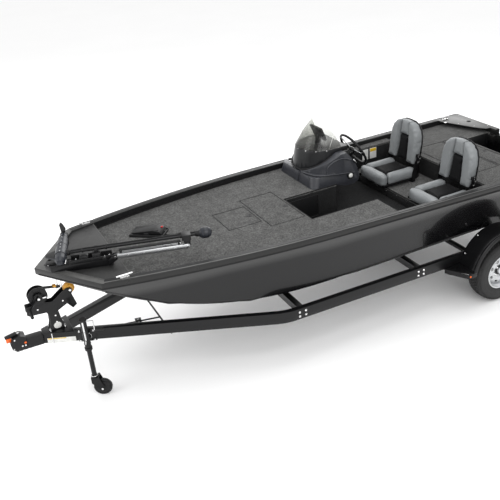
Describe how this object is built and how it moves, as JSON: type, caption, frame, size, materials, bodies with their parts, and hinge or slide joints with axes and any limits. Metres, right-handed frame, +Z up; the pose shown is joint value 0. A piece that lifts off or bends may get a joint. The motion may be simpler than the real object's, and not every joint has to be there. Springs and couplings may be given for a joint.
{
  "type": "bass boat on trailer",
  "caption": "Dark metallic bass boat with carpeted decks, side console, folding seats, bow-mount trolling motor and outboard, standing on its single-axle trailer.",
  "frame": {"origin": "on the ground, under the middle of the whole boat and trailer", "axes": "+X towards the bow and coupler, +Y to port, +Z up"},
  "size_m": [6.1692, 2.08, 1.735],
  "materials": {
    "hull_paint": "metallic gloss",
    "rim_grey": "satin",
    "panel_grey": "satin",
    "carpet": "short pile",
    "console_blue_black": "satin",
    "smoke_glass": "tinted clear",
    "seat_vinyl": "soft satin",
    "black_metal": "satin",
    "bright_metal": "polished",
    "aluminium_silver": "brushed",
    "pod_grey": "satin",
    "black_plastic": "matte",
    "outboard_grey": "gloss",
    "tyre_rubber": "matte",
    "wheel_silver": "satin",
    "roller_amber": "satin",
    "lamp_red": "gloss",
    "webbing": "woven",
    "bunk_carpet": "carpet covered"
  },
  "bodies": {
    "boat_and_trailer": {"hull": "hull_paint", "gunwale_rim": "rim_grey", "front_deck": "carpet", "rear_deck": "carpet", "bow_panel": "panel_grey", "cockpit_floor": "carpet", "seat_platform": "carpet", "console": "console_blue_black", "console_visor": "console_blue_black", "windshield": "smoke_glass", "display": "black_plastic", "seat_cushions": "seat_vinyl", "seat_frames": "black_metal", "cleats": "bright_metal", "trolling_mount": "black_metal", "trolling_pedal": "black_plastic", "outboard_clamp": "black_metal", "trailer_frame": "black_metal", "coupler": "black_metal", "coupler_lever": "bright_metal", "winch_stand": "black_metal", "winch": "black_metal", "winch_strap": "webbing", "bow_roller": "roller_amber", "bunks": "bunk_carpet", "axle": "black_metal", "springs": "black_metal", "fenders": "black_metal", "fender_steps": "black_metal", "jack_bracket": "black_metal", "tail_lights": "lamp_red"},
    "fore_hatch": {"hatch_lid_fore": "carpet"},
    "middle_hatch": {"hatch_lid_middle": "carpet"},
    "rear_hatch": {"hatch_lid_rear": "carpet"},
    "aft_hatch": {"hatch_lid_aft": "carpet"},
    "driver_seat_back": {"seat_back_driver": "seat_vinyl"},
    "port_seat_back": {"seat_back_port": "seat_vinyl"},
    "helm": {"steering_wheel": "black_plastic"},
    "trolling_arm_body": {"trolling_arm": "aluminium_silver"},
    "trolling_motor": {"trolling_housing": "black_plastic", "trolling_shaft": "black_metal", "trolling_pod": "pod_grey", "trolling_head": "pod_grey"},
    "trolling_screw": {"trolling_propeller": "black_plastic"},
    "outboard_swivel_body": {"outboard_swivel": "black_metal"},
    "outboard_motor": {"outboard_leg": "outboard_grey", "outboard_gearcase": "outboard_grey", "outboard_cowl": "outboard_grey"},
    "outboard_screw": {"outboard_propeller": "aluminium_silver"},
    "port_wheel": {"tyre_port": "tyre_rubber", "wheel_rim_port": "wheel_silver"},
    "starboard_wheel": {"tyre_starboard": "tyre_rubber", "wheel_rim_starboard": "wheel_silver"},
    "jack_outer": {"jack_leg": "black_metal"},
    "jack_inner": {"jack_ram": "bright_metal"},
    "jack_roller": {"jack_wheel": "black_plastic"}
  },
  "joints": [
    {"name": "hatch_lid_fore_hinge", "type": "hinge", "parent": "boat_and_trailer", "child": "fore_hatch", "pos_m": [1.159, 0, 1.125], "axis": [0, 1, 0], "range_deg": [0, 95]},
    {"name": "hatch_lid_middle_hinge", "type": "hinge", "parent": "boat_and_trailer", "child": "middle_hatch", "pos_m": [0.824, 0, 1.125], "axis": [0, 1, 0], "range_deg": [0, 95]},
    {"name": "hatch_lid_rear_hinge", "type": "hinge", "parent": "boat_and_trailer", "child": "rear_hatch", "pos_m": [-1.311, 0, 1.1], "axis": [0, 1, 0], "range_deg": [0, 90]},
    {"name": "hatch_lid_aft_hinge", "type": "hinge", "parent": "boat_and_trailer", "child": "aft_hatch", "pos_m": [-1.697, 0, 1.1], "axis": [0, 1, 0], "range_deg": [0, 90]},
    {"name": "seat_back_driver_fold", "type": "hinge", "parent": "boat_and_trailer", "child": "driver_seat_back", "pos_m": [-1.088, -0.328, 1.108], "axis": [0, 1, 0], "range_deg": [0, 92]},
    {"name": "seat_back_port_fold", "type": "hinge", "parent": "boat_and_trailer", "child": "port_seat_back", "pos_m": [-1.126, 0.428, 1.108], "axis": [0, 1, 0], "range_deg": [0, 92]},
    {"name": "steering_wheel_turn", "type": "hinge", "parent": "boat_and_trailer", "child": "helm", "pos_m": [-0.508, -0.4, 1.3], "axis": [0.8746, 0, -0.4848], "range_deg": [-540, 540]},
    {"name": "trolling_arm_lift", "type": "hinge", "parent": "boat_and_trailer", "child": "trolling_arm_body", "pos_m": [2.17683, 0.30532, 1.266], "axis": [0.299, 0.9542, 0], "range_deg": [0, 90]},
    {"name": "trolling_motor_swing", "type": "hinge", "parent": "trolling_arm_body", "child": "trolling_motor", "pos_m": [1.64246, 0.47278, 1.266], "axis": [0.299, 0.9542, 0], "range_deg": [-45, 0]},
    {"name": "trolling_propeller_spin", "type": "hinge", "parent": "trolling_motor", "child": "trolling_screw", "pos_m": [2.44191, -0.18645, 1.32], "axis": [-0.299, -0.9542, 0], "continuous": true},
    {"name": "outboard_tilt", "type": "hinge", "parent": "boat_and_trailer", "child": "outboard_swivel_body", "pos_m": [-2.418, 0, 1.148], "axis": [0, 1, 0], "range_deg": [0, 62]},
    {"name": "outboard_steer", "type": "hinge", "parent": "outboard_swivel_body", "child": "outboard_motor", "pos_m": [-2.534, 0, 0.99], "axis": [0, 0, 1], "range_deg": [-30, 30]},
    {"name": "outboard_propeller_spin", "type": "hinge", "parent": "outboard_motor", "child": "outboard_screw", "pos_m": [-2.886, 0, 0.405], "axis": [1, 0, 0], "continuous": true},
    {"name": "port_wheel_roll", "type": "hinge", "parent": "boat_and_trailer", "child": "port_wheel", "pos_m": [-1.248, 0.9265, 0.304], "axis": [0, 1, 0], "continuous": true},
    {"name": "starboard_wheel_roll", "type": "hinge", "parent": "boat_and_trailer", "child": "starboard_wheel", "pos_m": [-1.248, -0.9265, 0.304], "axis": [0, 1, 0], "continuous": true},
    {"name": "jack_swing_up", "type": "hinge", "parent": "boat_and_trailer", "child": "jack_outer", "pos_m": [2.50325, 0.20608, 0.56], "axis": [0.405, 0.9143, 0], "range_deg": [0, 90]},
    {"name": "jack_extend", "type": "slide", "parent": "jack_outer", "child": "jack_inner", "axis": [0, 0, 1], "range_m": [0, 0.19]},
    {"name": "jack_wheel_roll", "type": "hinge", "parent": "jack_inner", "child": "jack_roller", "pos_m": [2.45571, 0.22714, 0.076], "axis": [0.405, 0.9143, 0], "continuous": true}
  ],
  "couplings": [
    {"joint": "steering_wheel_turn", "follows": "outboard_steer", "ratio": 18},
    {"joint": "trolling_motor_swing", "follows": "trolling_arm_lift", "ratio": -0.5}
  ]
}
